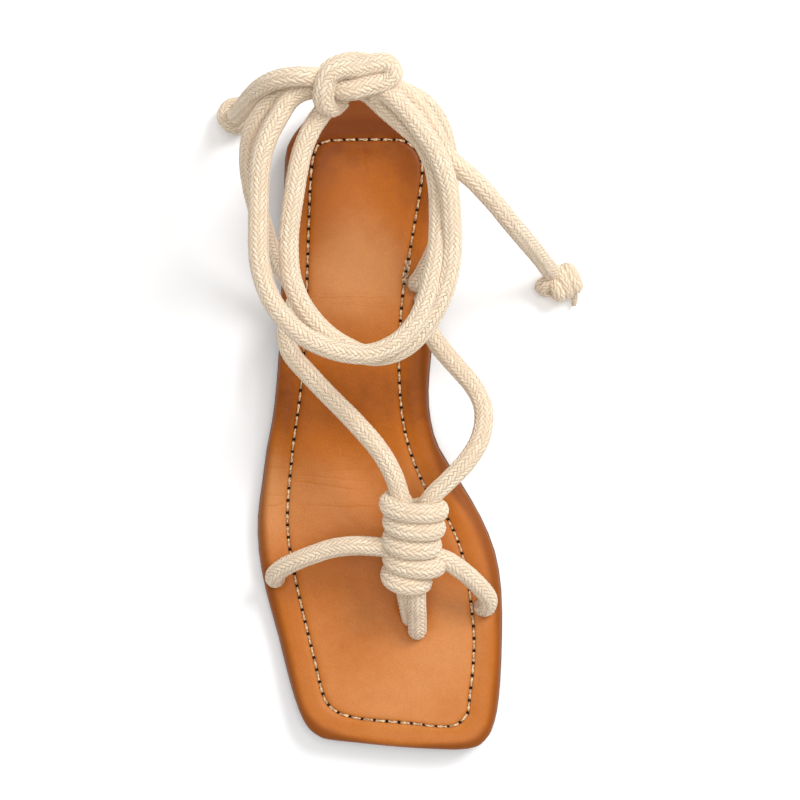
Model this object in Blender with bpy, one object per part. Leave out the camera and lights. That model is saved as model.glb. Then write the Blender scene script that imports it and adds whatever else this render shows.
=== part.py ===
"""A rope sandal for the right foot.

A rolled leather footbed lies on a thin outsole with a low heel lift. The upper is one braided rope: a toe
post, a coil of five wraps, a band over the forefoot, two instep strands, two heel strands and two wraps round
the ankle. It dips into holes in the footbed. A knot behind the ankle ties its two ends, and each free end
hangs to the floor.

Metres, +Z up, heel towards +Y, big toe side towards +X. The origin is on the floor, under the ball of the
foot.
"""

import math

import bmesh
import bpy
from mathutils import Vector

MM = 0.001

# Driving sizes
FOOT_LENGTH = 247 * MM
BALL_WIDTH = 88 * MM
HEEL_HEIGHT = 9 * MM
TOE_SPRING = 5 * MM
OUTSOLE_THICKNESS = 3 * MM
OUTSOLE_LIP = 0.5 * MM
OUTSOLE_EDGES = (0.5 * MM, 0.7 * MM)  # rounding of its edge, at the floor and at the top
FOOTBED_THICKNESS = 6 * MM
FOOTBED_EDGES = (1.2 * MM, 2.8 * MM)  # the top edge is rolled
LIFT_INSETS = (2.4 * MM, 0.8 * MM)  # from the footbed's edge to the heel lift's, at the floor and at its top
HEEL_CUP_DEPTH = 1.6 * MM
ROPE_DIAMETER = 7 * MM
ANKLE_RISE = 64 * MM  # from the footbed to the wraps round the ankle

# Clearances
GAP = 0.3 * MM
JOINED = 0.88  # strands that are joined lie this share of a diameter apart
WRAP_PITCH = ROPE_DIAMETER + GAP

ROPE_RADIUS = ROPE_DIAMETER / 2
HOLE_RADIUS = ROPE_RADIUS + GAP
DIP_CLEARANCE = 0.4 * MM
MOUTH_RISE = 0.5 * ROPE_DIAMETER
CUTTER_BELOW = 2 * MM
CUTTER_ABOVE = 4 * MM

# Places along the foot, as shares of its length from the back of the heel
BALL = 0.72
BALL_FLAT = (0.66, 0.82)
HEEL_BREAST = 0.27
HEEL_CUP_FADE = (0.18, 0.40)
SPINE_ENDS = (0.10, 0.90)
INNERMOST = 0.86  # how far towards the spine a slab's rings go
CUP_RINGS = (0.25, 0.45)  # more rings of the footbed's top, as shares of the way to the spine

# Fineness
ROPE_SIDES = 10
ROPE_STEP = 0.9 * ROPE_DIAMETER
CORD_STEP = 1.0 * ROPE_DIAMETER
CORD_BEVEL = 2
OUTLINE_SAMPLES = 2  # samples between two rows of the outline
ROUTE_SAMPLES = 24  # samples between two rows of a route
EDGE_STEPS = 3
OUTSOLE_EDGE_STEPS = 2
HOLE_CORNERS = 20
LUMP_SEGMENTS = (12, 8)
SMOOTH_ANGLE = math.radians(40)

# Outline of the footbed: (along, lateral edge, medial edge), the edges as shares of the ball width
OUTLINE = [
    (0.000, -0.115, -0.025),
    (0.014, -0.235, 0.095),
    (0.043, -0.333, 0.190),
    (0.080, -0.402, 0.258),
    (0.123, -0.414, 0.276),
    (0.210, -0.420, 0.258),
    (0.302, -0.428, 0.232),
    (0.395, -0.440, 0.206),
    (0.453, -0.454, 0.194),
    (0.498, -0.470, 0.204),
    (0.540, -0.494, 0.240),
    (0.596, -0.516, 0.338),
    (0.646, -0.534, 0.420),
    (0.700, -0.530, 0.482),
    (0.760, -0.500, 0.510),
    (0.830, -0.446, 0.513),
    (0.900, -0.396, 0.505),
    (0.945, -0.354, 0.490),
    (0.968, -0.318, 0.472),
    (0.981, -0.272, 0.455),
]
# The toe's edge from the lateral corner to the medial one: (along, across)
TOE_EDGE = [
    (0.986, -0.225),
    (0.991, -0.100),
    (0.997, 0.080),
    (1.000, 0.250),
    (1.000, 0.345),
    (0.995, 0.412),
]

# Holes in the footbed that the rope dips into: (along, across)
TOE_HOLE = (0.831, 0.152)
BAND_HOLE_LATERAL = (0.740, -0.446)
BAND_HOLE_MEDIAL = (0.788, 0.436)
SIDE_HOLE_LATERAL = (0.296, -0.371)
SIDE_HOLE_MEDIAL = (0.291, 0.150)
# The second strand of a hole that takes two, as a direction (medial, towards the toe)
TOE_SECOND = (-0.63, -0.78)
SIDE_SECOND = (0.0, 1.0)

# Routes of the strands: (along, across, rise), the rise above the footbed as a share of the ankle rise
POST_MAIN = [
    (0.798, 0.146, 0.135),
    (0.768, 0.136, 0.225),
]
POST_SECOND = [
    (0.790, 0.094, 0.130),
    (0.766, 0.085, 0.215),
]
IN_COIL_MEDIAL = [
    (0.700, 0.155, 0.335),
    (0.640, 0.168, 0.425),
]
IN_COIL_LATERAL = [
    (0.700, 0.082, 0.335),
    (0.640, 0.092, 0.420),
]
INSTEP_MEDIAL = [
    (0.611, 0.205, 0.470),
    (0.587, 0.272, 0.482),
    (0.559, 0.348, 0.472),
    (0.527, 0.404, 0.442),
    (0.497, 0.424, 0.396),
    (0.471, 0.417, 0.350),
    (0.443, 0.376, 0.288),
    (0.409, 0.295, 0.208),
    (0.375, 0.210, 0.147),
    (0.345, 0.164, 0.087),
]
INSTEP_LATERAL = [
    (0.601, 0.070, 0.468),
    (0.569, 0.037, 0.492),
    (0.535, -0.022, 0.493),
    (0.495, -0.120, 0.472),
    (0.463, -0.210, 0.424),
    (0.429, -0.302, 0.343),
    (0.399, -0.376, 0.240),
    (0.370, -0.405, 0.159),
    (0.345, -0.393, 0.086),
]
BAND = [
    (0.735, -0.462, 0.075),
    (0.726, -0.452, 0.145),
    (0.717, -0.408, 0.205),
    (0.706, -0.344, 0.261),
    (0.696, -0.275, 0.292),
    (0.688, -0.205, 0.316),
    (0.684, -0.117, 0.339),
    (0.686, -0.004, 0.347),
    (0.695, 0.127, 0.339),
    (0.704, 0.252, 0.323),
    (0.714, 0.304, 0.300),
    (0.729, 0.359, 0.261),
    (0.748, 0.412, 0.206),
    (0.766, 0.450, 0.136),
    (0.779, 0.459, 0.085),
    (0.787, 0.446, 0.040),
]
HEEL_STRAND_LATERAL = [
    (0.284, -0.398, 0.090),
    (0.264, -0.434, 0.152),
    (0.238, -0.467, 0.261),
    (0.199, -0.499, 0.433),
    (0.163, -0.523, 0.573),
    (0.123, -0.532, 0.698),
    (0.086, -0.511, 0.808),
    (0.054, -0.452, 0.880),
    (0.034, -0.368, 0.915),
    (0.025, -0.240, 0.930),
    (0.022, -0.150, 0.970),
]
HEEL_STRAND_MEDIAL = [
    (0.276, 0.176, 0.095),
    (0.251, 0.212, 0.198),
    (0.221, 0.250, 0.323),
    (0.186, 0.274, 0.455),
    (0.153, 0.277, 0.548),
    (0.115, 0.270, 0.618),
    (0.080, 0.244, 0.681),
    (0.055, 0.204, 0.738),
    (0.037, 0.144, 0.785),
    (0.024, 0.040, 0.850),
    (0.022, -0.060, 0.950),
]
# The wraps round the ankle: (along, across, rise, stack), the stack in rope diameters above that rise
WRAP_OVER = [
    (0.022, -0.110, 1.020, 0.0),
    (0.027, -0.190, 1.000, 0.0),
    (0.034, -0.301, 1.000, 0.0),
    (0.047, -0.358, 1.000, 0.0),
    (0.068, -0.397, 1.000, 0.0),
    (0.092, -0.434, 1.000, 0.0),
    (0.120, -0.462, 1.000, 0.0),
    (0.158, -0.476, 0.995, 0.0),
    (0.198, -0.480, 0.995, 0.0),
    (0.230, -0.481, 0.995, 0.0),
    (0.264, -0.478, 0.995, 0.0),
    (0.295, -0.462, 0.990, 0.1),
    (0.323, -0.433, 0.985, 0.2),
    (0.348, -0.387, 0.980, 0.35),
    (0.373, -0.318, 0.980, 0.5),
    (0.390, -0.232, 0.985, 0.5),
    (0.400, -0.142, 0.995, 0.46),
    (0.402, -0.046, 1.000, 0.43),
    (0.393, 0.033, 1.000, 0.40),
    (0.377, 0.097, 1.000, 0.33),
    (0.352, 0.150, 1.000, 0.2),
    (0.319, 0.188, 0.995, 0.1),
    (0.279, 0.212, 0.995, 0.0),
    (0.240, 0.226, 0.995, -0.05),
    (0.202, 0.230, 0.995, -0.1),
    (0.164, 0.224, 0.995, -0.1),
    (0.129, 0.200, 0.995, -0.1),
    (0.099, 0.158, 0.995, -0.1),
    (0.073, 0.084, 0.995, -0.1),
    (0.046, -0.015, 0.995, -0.1),
    (0.030, -0.075, 1.010, 0.0),
]
WRAP_UNDER = [
    (0.028, -0.140, 1.010, 0.0),
    (0.049, -0.197, 0.985, 0.0),
    (0.081, -0.264, 0.970, 0.0),
    (0.115, -0.307, 0.965, 0.0),
    (0.149, -0.328, 0.965, 0.0),
    (0.191, -0.347, 0.965, 0.0),
    (0.229, -0.360, 0.960, 0.0),
    (0.263, -0.363, 0.960, 0.0),
    (0.294, -0.353, 0.965, -0.1),
    (0.322, -0.326, 0.970, -0.25),
    (0.346, -0.286, 0.975, -0.38),
    (0.371, -0.222, 0.985, -0.38),
    (0.390, -0.144, 0.995, -0.40),
    (0.403, -0.060, 1.000, -0.43),
    (0.403, 0.017, 1.000, -0.42),
    (0.393, 0.092, 1.000, -0.35),
    (0.373, 0.156, 1.000, -0.2),
    (0.344, 0.211, 1.000, -0.1),
    (0.311, 0.252, 1.000, 0.0),
    (0.278, 0.274, 0.995, 0.1),
    (0.244, 0.281, 0.995, 0.2),
    (0.212, 0.277, 1.000, 0.4),
    (0.179, 0.269, 1.010, 0.55),
    (0.149, 0.247, 1.015, 0.7),
    (0.119, 0.210, 1.015, 0.75),
    (0.093, 0.160, 1.015, 0.75),
    (0.066, 0.102, 1.015, 0.7),
    (0.044, 0.039, 1.015, 0.6),
    (0.024, -0.030, 1.015, 0.5),
    (0.022, -0.090, 1.020, 0.2),
]

# The coil on the post: its axis from the toe end to the ankle end, as (along, across, rise)
COIL_AXIS = ((0.740, 0.106, 0.277), (0.624, 0.134, 0.445))
COIL_START = math.radians(270)  # under the strands
# Half width and half depth of its centreline under the strands, from the ankle end, in rope diameters
COIL_WRAPS = [
    (1.28, 0.92),
    (1.24, 0.95),
    (1.14, 0.95),
    (1.12, 0.95),
    (1.04, 0.90),
    (0.62, 0.70),
]
COIL_STEPS = 12  # points in one wrap

# The back knot: its middle, as (along, across, rise), and its strands in rope diameters from the middle
KNOT_MIDDLE = (0.022, -0.098, 1.03)
KNOT_CORE = (1.25, 0.85, 1.00)
KNOT_OVER = [
    (-0.70, -0.60, -0.45),
    (-1.30, -0.70, 0.00),
    (-1.55, -0.10, 0.45),
    (-1.10, 0.50, 0.80),
    (-0.30, 0.80, 0.90),
    (0.60, 0.90, 0.75),
    (1.35, 0.70, 0.35),
    (1.45, 0.15, -0.10),
    (0.80, -0.10, -0.45),
]
KNOT_TONGUE = [
    (-0.80, 0.25, 0.00),
    (-0.85, -0.30, 0.55),
    (-0.20, -0.42, 0.85),
    (0.50, -0.10, 0.92),
    (1.00, 0.30, 0.65),
    (0.80, 0.45, 0.00),
]

# The free ends: (along, across, height), the height as a share of the knot's height over the floor
TIE_END_LATERAL = [
    (0.015, -0.266, 1.050),
    (0.016, -0.325, 1.048),
    (0.020, -0.380, 1.025),
    (0.025, -0.446, 0.965),
    (0.028, -0.510, 0.870),
    (0.037, -0.550, 0.724),
    (0.044, -0.574, 0.511),
    (0.042, -0.594, 0.333),
    (0.036, -0.612, 0.120),
]
TIE_END_MEDIAL = [
    (0.031, 0.072, 0.945),
    (0.052, 0.140, 0.932),
    (0.084, 0.205, 0.897),
    (0.116, 0.253, 0.879),
    (0.142, 0.308, 0.849),
    (0.158, 0.374, 0.802),
    (0.181, 0.454, 0.701),
    (0.211, 0.539, 0.546),
    (0.238, 0.616, 0.368),
    (0.256, 0.676, 0.214),
    (0.270, 0.728, 0.085),
]
# Each end knot: lobes on the floor, as (along, across, radius in rope diameters). The first meets the rope.
END_KNOT_LATERAL = [
    (0.031, -0.622, 1.04),
    (0.026, -0.650, 0.80),
]
END_KNOT_MEDIAL = [
    (0.275, 0.747, 0.72),
    (0.284, 0.789, 0.90),
    (0.289, 0.707, 0.50),
]
END_KNOT_LIFT = 0.2 * MM

LEATHER = ("leather", (0.52, 0.20, 0.055, 1), 0.45)
SOLE = ("sole", (0.12, 0.060, 0.028, 1), 0.6)
ROPE = ("rope", (0.80, 0.69, 0.52, 1), 0.9)


def clear_scene():
    for existing in list(bpy.data.objects):
        bpy.data.objects.remove(existing, do_unlink=True)


def material(look):
    name, colour, roughness = look
    made = bpy.data.materials.get(name) or bpy.data.materials.new(name)
    made.use_nodes = True
    shader = made.node_tree.nodes["Principled BSDF"]
    shader.inputs["Base Color"].default_value = colour
    shader.inputs["Roughness"].default_value = roughness
    return made


def add_object(name, data, look):
    made = bpy.data.objects.new(name, data)
    made.data.materials.append(material(look))
    bpy.context.scene.collection.objects.link(made)
    return made


def smoothstep(share):
    share = min(max(share, 0.0), 1.0)
    return share * share * (3 - 2 * share)


# The foot's own coordinates


def ground(along, across):
    """A point of the floor at a share of the length and a share of the ball width."""
    return Vector((across * BALL_WIDTH, (BALL - along) * FOOT_LENGTH, 0))


def sole_height(along):
    """How high the outsole's underside is: heel, arch, flat ball and toe spring."""
    ball_start, ball_end = BALL_FLAT
    heel = HEEL_HEIGHT * (1 - smoothstep((along - HEEL_BREAST) / (ball_start - HEEL_BREAST)))
    toe = max(along - ball_end, 0) / (1 - ball_end)
    return heel + TOE_SPRING * toe * toe


def footbed_bottom(along):
    return sole_height(along) + OUTSOLE_THICKNESS + GAP


def footbed_top(along):
    return footbed_bottom(along) + FOOTBED_THICKNESS


def over_footbed(along, across, rise, stack=0.0):
    """A point of a rope's route, above the footbed."""
    point = ground(along, across)
    point.z = footbed_top(along) + rise * ANKLE_RISE + stack * ROPE_DIAMETER
    return point


def knot_middle():
    return over_footbed(*KNOT_MIDDLE)


def over_floor(along, across, height):
    """A point of a free end, its height as a share of the knot's."""
    point = ground(along, across)
    point.z = height * knot_middle().z
    return point


# Curves


def spline(points, closed=False):
    """A function of a share from 0 to 1 that runs smoothly through the points, and how many spans it has."""
    count = len(points)
    spans = count if closed else count - 1

    def at(position):
        span = min(int(position), spans - 1)
        share = position - span

        def control(offset):
            if closed:
                return points[(span + offset) % count]
            return points[min(max(span + offset, 0), count - 1)]

        before, start, end, after = (control(offset) for offset in (-1, 0, 1, 2))
        return 0.5 * (
            2 * start
            + (end - before) * share
            + (2 * before - 5 * start + 4 * end - after) * share**2
            + (3 * start - before - 3 * end + after) * share**3
        )

    return at, spans


def route(points, step):
    """Points at even steps along a smooth curve through the route's points."""
    at, spans = spline(points)
    fine = [at(index / ROUTE_SAMPLES) for index in range(spans * ROUTE_SAMPLES + 1)]
    travelled = [0.0]
    for start, end in zip(fine, fine[1:]):
        travelled.append(travelled[-1] + (end - start).length)
    pieces = max(round(travelled[-1] / step), 1)
    made, index = [], 0
    for piece in range(pieces + 1):
        target = travelled[-1] * piece / pieces
        while index < len(fine) - 2 and travelled[index + 1] < target:
            index += 1
        length = travelled[index + 1] - travelled[index]
        made.append(fine[index].lerp(fine[index + 1], (target - travelled[index]) / length))
    return made


def tube(name, points, radius, look=ROPE, sides=ROPE_SIDES):
    """A closed round tube along the points, with a flat cap at each end."""
    bm = bmesh.new()
    tangents = []
    for index in range(len(points)):
        ahead = points[min(index + 1, len(points) - 1)]
        behind = points[max(index - 1, 0)]
        tangents.append((ahead - behind).normalized())
    side = tangents[0].orthogonal().normalized()
    rings = []
    for point, tangent in zip(points, tangents):
        side = (side - side.dot(tangent) * tangent).normalized()
        other = tangent.cross(side)
        ring = []
        for corner in range(sides):
            angle = math.tau * corner / sides
            ring.append(bm.verts.new(point + radius * (math.cos(angle) * side + math.sin(angle) * other)))
        rings.append(ring)
    for ring, following in zip(rings, rings[1:]):
        for corner in range(sides):
            after = (corner + 1) % sides
            bm.faces.new((ring[corner], ring[after], following[after], following[corner]))
    bm.faces.new(list(reversed(rings[0])))
    bm.faces.new(rings[-1])
    return finish_mesh(bm, name, look)


def finish_mesh(bm, name, look):
    bmesh.ops.recalc_face_normals(bm, faces=bm.faces)
    data = bpy.data.meshes.new(name)
    bm.to_mesh(data)
    bm.free()
    data.shade_smooth()
    data.set_sharp_from_angle(angle=SMOOTH_ANGLE)
    return add_object(name, data, look)


def cord(name, points, radius, look=ROPE):
    """A rope's free end, as a curve with a round bevel and filled caps."""
    data = bpy.data.curves.new(name, "CURVE")
    data.dimensions = "3D"
    data.bevel_depth = radius
    data.bevel_resolution = CORD_BEVEL
    data.use_fill_caps = True
    line = data.splines.new("POLY")
    line.points.add(len(points) - 1)
    for target, point in zip(line.points, points):
        target.co = (*point, 1)
    return add_object(name, data, look)


def lump(name, middle, radii, look=ROPE):
    """A closed egg shape with the given half sizes."""
    bm = bmesh.new()
    around, upwards = LUMP_SEGMENTS
    bmesh.ops.create_uvsphere(bm, u_segments=around, v_segments=upwards, radius=1)
    for vertex in bm.verts:
        vertex.co = middle + Vector(size * radius for size, radius in zip(vertex.co, radii))
    return finish_mesh(bm, name, look)


def hide_tool(tool):
    tool.hide_render = True
    tool.display_type = "WIRE"


def combine(target, tools, operation):
    for tool in tools:
        change = target.modifiers.new(tool.name, "BOOLEAN")
        change.operation = operation
        change.solver = "EXACT"
        change.object = tool
        hide_tool(tool)


# Sole and footbed


def edges_at(along):
    """The lateral and medial edges at a share of the length."""
    rows = OUTLINE
    along = min(max(along, rows[0][0]), rows[-1][0])
    for low, high in zip(rows, rows[1:]):
        if along <= high[0]:
            share = (along - low[0]) / (high[0] - low[0])
            return tuple(low[side] + share * (high[side] - low[side]) for side in (1, 2))
    return rows[-1][1:]


def outline_points():
    """The footbed's outline on the floor, smooth and closed: lateral side, toe, medial side."""
    lateral = [ground(along, edge) for along, edge, _ in OUTLINE]
    toe = [ground(along, across) for along, across in TOE_EDGE]
    medial = [ground(along, edge) for along, _, edge in reversed(OUTLINE)]
    at, spans = spline(lateral + toe + medial, closed=True)
    return [at(index / OUTLINE_SAMPLES) for index in range(spans * OUTLINE_SAMPLES)]


def spine_point(point):
    """The point of the foot's middle line that a point of the outline looks towards."""
    along = min(max(BALL - point.y / FOOT_LENGTH, SPINE_ENDS[0]), SPINE_ENDS[1])
    return ground(along, sum(edges_at(along)) / 2)


def inwards(point, distance):
    towards = spine_point(point) - point
    return point + towards.normalized() * distance


def share_along(point):
    return BALL - point.y / FOOT_LENGTH


def layer(name, rings, look):
    """A closed slab from rings that run from the underside's middle, round the edge, to the top's middle."""
    bm = bmesh.new()
    made = [[bm.verts.new(point) for point in ring] for ring in rings]
    count = len(made[0])
    for ring, following in zip(made, made[1:]):
        for corner in range(count):
            after = (corner + 1) % count
            bm.faces.new((ring[corner], ring[after], following[after], following[corner]))
    for ring in (made[0], made[-1]):
        edges = [bm.edges.get((ring[corner], ring[(corner + 1) % count])) for corner in range(count)]
        bmesh.ops.triangle_fill(bm, edges=edges, use_beauty=True)
    return finish_mesh(bm, name, look)


def edge_section(radii, steps):
    """Rounded edge of a slab: (inset, up from the underside, down from the top), the unused one None."""
    low_radius, high_radius = radii
    section = []
    for step in range(steps + 1):
        angle = math.pi / 2 * step / steps
        section.append((low_radius * (1 - math.sin(angle)), low_radius * (1 - math.cos(angle)), None))
    for step in range(steps + 1):
        angle = math.pi / 2 * step / steps
        section.append((high_radius * (1 - math.cos(angle)), None, high_radius * (1 - math.sin(angle))))
    return section


def no_dip(along, share):
    return 0.0


def slab_rings(outline, section, bottom, top, dip=no_dip, top_shares=()):
    """Rings of a slab whose faces follow the foot: the middle, the edge's section and the middle again."""
    inner = [point.lerp(spine_point(point), INNERMOST) for point in outline]
    rings = [[point + Vector((0, 0, bottom(share_along(point)))) for point in inner]]
    for inset, up, down in section:
        ring = []
        for point in outline:
            moved = inwards(point, inset)
            along = share_along(moved)
            height = bottom(along) + up if down is None else top(along) - down
            ring.append(moved + Vector((0, 0, height)))
        rings.append(ring)
    for share in (*top_shares, INNERMOST):
        ring = []
        for point in outline:
            moved = point.lerp(spine_point(point), share)
            along = share_along(moved)
            ring.append(moved + Vector((0, 0, top(along) - dip(along, share))))
        rings.append(ring)
    return rings


def heel_dip(along, share):
    """How far the footbed is cupped under the heel, deepest in the middle."""
    start, end = HEEL_CUP_FADE
    fade = 1 - smoothstep((along - start) / (end - start))
    return HEEL_CUP_DEPTH * fade * smoothstep(share / INNERMOST)


def make_footbed(outline):
    section = edge_section(FOOTBED_EDGES, EDGE_STEPS)
    rings = slab_rings(outline, section, footbed_bottom, footbed_top, heel_dip, CUP_RINGS)
    return layer("footbed", rings, LEATHER)


def outsole_top(along):
    return sole_height(along) + OUTSOLE_THICKNESS


def make_outsole(outline):
    wide = [inwards(point, -OUTSOLE_LIP) for point in outline]
    section = edge_section(OUTSOLE_EDGES, OUTSOLE_EDGE_STEPS)
    rings = slab_rings(wide, section, sole_height, outsole_top)
    return layer("outsole", rings, SOLE)


def make_heel_lift(outline):
    """A low block under the heel, a little smaller at the floor, with a straight breast."""
    half = len(outline) // 2
    heel = [point for point in outline[half:] + outline[:half] if share_along(point) < HEEL_BREAST]
    lateral_end, medial_end = (ground(HEEL_BREAST, edge) for edge in edges_at(HEEL_BREAST))
    loop = [medial_end, *heel, lateral_end]
    middle = ground(HEEL_BREAST / 2, sum(edges_at(HEEL_BREAST / 2)) / 2)
    bm = bmesh.new()
    rings = []
    for inset, height in zip(LIFT_INSETS, (0, HEEL_HEIGHT - GAP)):
        ring = []
        for point in loop:
            moved = point + (middle - point).normalized() * inset
            ring.append(bm.verts.new((moved.x, moved.y, height)))
        rings.append(ring)
    count = len(loop)
    for corner in range(count):
        after = (corner + 1) % count
        bm.faces.new((rings[0][corner], rings[0][after], rings[1][after], rings[1][corner]))
    bm.faces.new(list(reversed(rings[0])))
    bm.faces.new(rings[1])
    return finish_mesh(bm, "heel_lift", SOLE)


# Holes and strands


def second_strand(hole, direction):
    """The place of a second strand beside the first in one hole, joined to it."""
    along, across = hole
    medial, forward = direction
    shift = JOINED * ROPE_DIAMETER
    return along + forward * shift / FOOT_LENGTH, across + medial * shift / BALL_WIDTH


def hole_points(hole):
    """A strand in its hole: its end just above the outsole, the hole's mouth and a point above the mouth."""
    along = hole[0]
    heights = (footbed_bottom(along) + DIP_CLEARANCE, footbed_top(along), footbed_top(along) + MOUTH_RISE)
    return [ground(*hole) + Vector((0, 0, height)) for height in heights]


def strand(first_hole, rows, last_hole=None):
    """Points of a strand that runs straight in its holes and smoothly between them."""
    low, mouth, above = hole_points(first_hole)
    points = [mouth, above, *(over_footbed(*row) for row in rows)]
    if last_hole is None:
        return [low, *route(points, ROPE_STEP)]
    last_low, last_mouth, last_above = hole_points(last_hole)
    return [low, *route([*points, last_above, last_mouth], ROPE_STEP), last_low]


def hole_cutter(name, hole, second=None):
    """A round hole, or a slot that takes two strands."""
    along = hole[0]
    low = footbed_bottom(along) - CUTTER_BELOW
    high = footbed_top(along) + CUTTER_ABOVE
    first = ground(*hole)
    last = ground(*(second or hole))
    bm = bmesh.new()
    corners = HOLE_CORNERS
    across = (last - first).normalized() if second else Vector((1, 0, 0))
    turn = math.atan2(across.y, across.x)
    corner_radius = HOLE_RADIUS / math.cos(math.pi / corners)
    rings = []
    for height in (low, high):
        ring = []
        for corner in range(corners):
            angle = turn + math.tau * (corner + 0.5) / corners
            reach = Vector((math.cos(angle), math.sin(angle), 0))
            base = last if reach.dot(across) > 0 else first
            ring.append(bm.verts.new(base + reach * corner_radius + Vector((0, 0, height))))
        rings.append(ring)
    for corner in range(corners):
        after = (corner + 1) % corners
        bm.faces.new((rings[0][corner], rings[0][after], rings[1][after], rings[1][corner]))
    bm.faces.new(list(reversed(rings[0])))
    bm.faces.new(rings[1])
    return finish_mesh(bm, name, LEATHER)


def make_holes():
    toe_second = second_strand(TOE_HOLE, TOE_SECOND)
    return [
        hole_cutter("toe_hole", TOE_HOLE, toe_second),
        hole_cutter("band_hole_lateral", BAND_HOLE_LATERAL),
        hole_cutter("band_hole_medial", BAND_HOLE_MEDIAL),
        hole_cutter("side_hole_lateral", SIDE_HOLE_LATERAL, second_strand(SIDE_HOLE_LATERAL, SIDE_SECOND)),
        hole_cutter("side_hole_medial", SIDE_HOLE_MEDIAL, second_strand(SIDE_HOLE_MEDIAL, SIDE_SECOND)),
    ]


def coil_route():
    """Five wraps round the strands, from the ankle end to the toe end."""
    low, high = (over_footbed(*end) for end in COIL_AXIS)
    middle = (low + high) / 2
    axis = (high - low).normalized()
    side = axis.cross(Vector((0, 0, 1))).normalized()
    up = side.cross(axis)
    if side.x < 0:
        side = -side
    turns = len(COIL_WRAPS) - 1
    sizes, _ = spline([Vector((width, depth)) for width, depth in COIL_WRAPS])
    points = []
    for step in range(turns * COIL_STEPS + 1):
        turned = step / COIL_STEPS
        angle = COIL_START - math.tau * turned
        width, depth = sizes(turned) * ROPE_DIAMETER
        centre = middle + axis * (turns / 2 - turned) * WRAP_PITCH
        points.append(centre + side * width * math.cos(angle) + up * depth * math.sin(angle))
    return points


def make_strands():
    toe_second = second_strand(TOE_HOLE, TOE_SECOND)
    lateral_second = second_strand(SIDE_HOLE_LATERAL, SIDE_SECOND)
    medial_second = second_strand(SIDE_HOLE_MEDIAL, SIDE_SECOND)
    routes = {
        "medial": strand(TOE_HOLE, POST_MAIN + IN_COIL_MEDIAL + INSTEP_MEDIAL, medial_second),
        "lateral": strand(toe_second, POST_SECOND + IN_COIL_LATERAL + INSTEP_LATERAL, lateral_second),
        "band": strand(BAND_HOLE_LATERAL, BAND, BAND_HOLE_MEDIAL),
        "heel_lateral": strand(SIDE_HOLE_LATERAL, HEEL_STRAND_LATERAL),
        "heel_medial": strand(SIDE_HOLE_MEDIAL, HEEL_STRAND_MEDIAL),
        "wrap_over": route([over_footbed(*row) for row in WRAP_OVER], ROPE_STEP),
        "wrap_under": route([over_footbed(*row) for row in WRAP_UNDER], ROPE_STEP),
        "coil": coil_route(),
    }
    return {name: tube(f"strand_{name}", points, ROPE_RADIUS) for name, points in routes.items()}


def knot_pieces(name, extra):
    """The back knot's core and its two strands that show, each made larger by a clearance."""
    middle = knot_middle()
    radii = [size * ROPE_DIAMETER + extra for size in KNOT_CORE]
    core = lump(name, middle, radii)
    bands = []
    for label, rows in (("over", KNOT_OVER), ("tongue", KNOT_TONGUE)):
        points = route([middle + Vector(row) * ROPE_DIAMETER for row in rows], ROPE_STEP)
        points[0] += (points[0] - points[1]).normalized() * extra
        points[-1] += (points[-1] - points[-2]).normalized() * extra
        bands.append(tube(f"{name}_{label}", points, ROPE_RADIUS + extra))
    combine(core, bands, "UNION")
    return core


def make_rope_upper():
    strands = make_strands()
    upper = strands.pop("medial")
    upper.name = "rope_upper"
    order = ("coil", "lateral", "band", "heel_medial", "heel_lateral", "wrap_over", "wrap_under")
    combine(upper, [strands[label] for label in order], "UNION")
    clearance = knot_pieces("knot_clearance", GAP)
    combine(upper, [clearance], "DIFFERENCE")
    return upper


def lobe_middle(lobe):
    along, across, size = lobe
    return ground(along, across) + Vector((0, 0, size * ROPE_DIAMETER + END_KNOT_LIFT))


def end_knot(name, lobes):
    """A small stopper knot on the floor, as lobes run together."""
    made = []
    for number, lobe in enumerate(lobes):
        radius = lobe[2] * ROPE_DIAMETER
        made.append(lump(name if number == 0 else f"{name}_lobe_{number}", lobe_middle(lobe), [radius] * 3))
    combine(made[0], made[1:], "UNION")


def tie_end(name, rows, lobe):
    """A free end of the rope, from the back knot to the first lobe of its end knot."""
    points = route([over_floor(*row) for row in rows], CORD_STEP)
    middle = lobe_middle(lobe)
    reach = lobe[2] * ROPE_DIAMETER + GAP
    kept = [point for point in points if (point - middle).length > reach + CORD_STEP / 2]
    kept.append(middle + (kept[-1] - middle).normalized() * reach)
    cord(name, kept, ROPE_RADIUS)


def make_part():
    clear_scene()
    outline = outline_points()
    footbed = make_footbed(outline)
    combine(footbed, make_holes(), "DIFFERENCE")
    make_outsole(outline)
    make_heel_lift(outline)
    make_rope_upper()
    knot_pieces("back_knot", 0.0)
    for side, rows, lobes in (
        ("lateral", TIE_END_LATERAL, END_KNOT_LATERAL),
        ("medial", TIE_END_MEDIAL, END_KNOT_MEDIAL),
    ):
        tie_end(f"tie_end_{side}", rows, lobes[0])
        end_knot(f"end_knot_{side}", lobes)


make_part()
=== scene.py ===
"""Dresses the rope sandal: braided cotton rope, a rolled and stitched leather footbed, a thin sole and a low heel.

The tables are in millimetres and the meshes in metres. +Y runs towards the heel, +X towards the big toe side.
"""

import math

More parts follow.
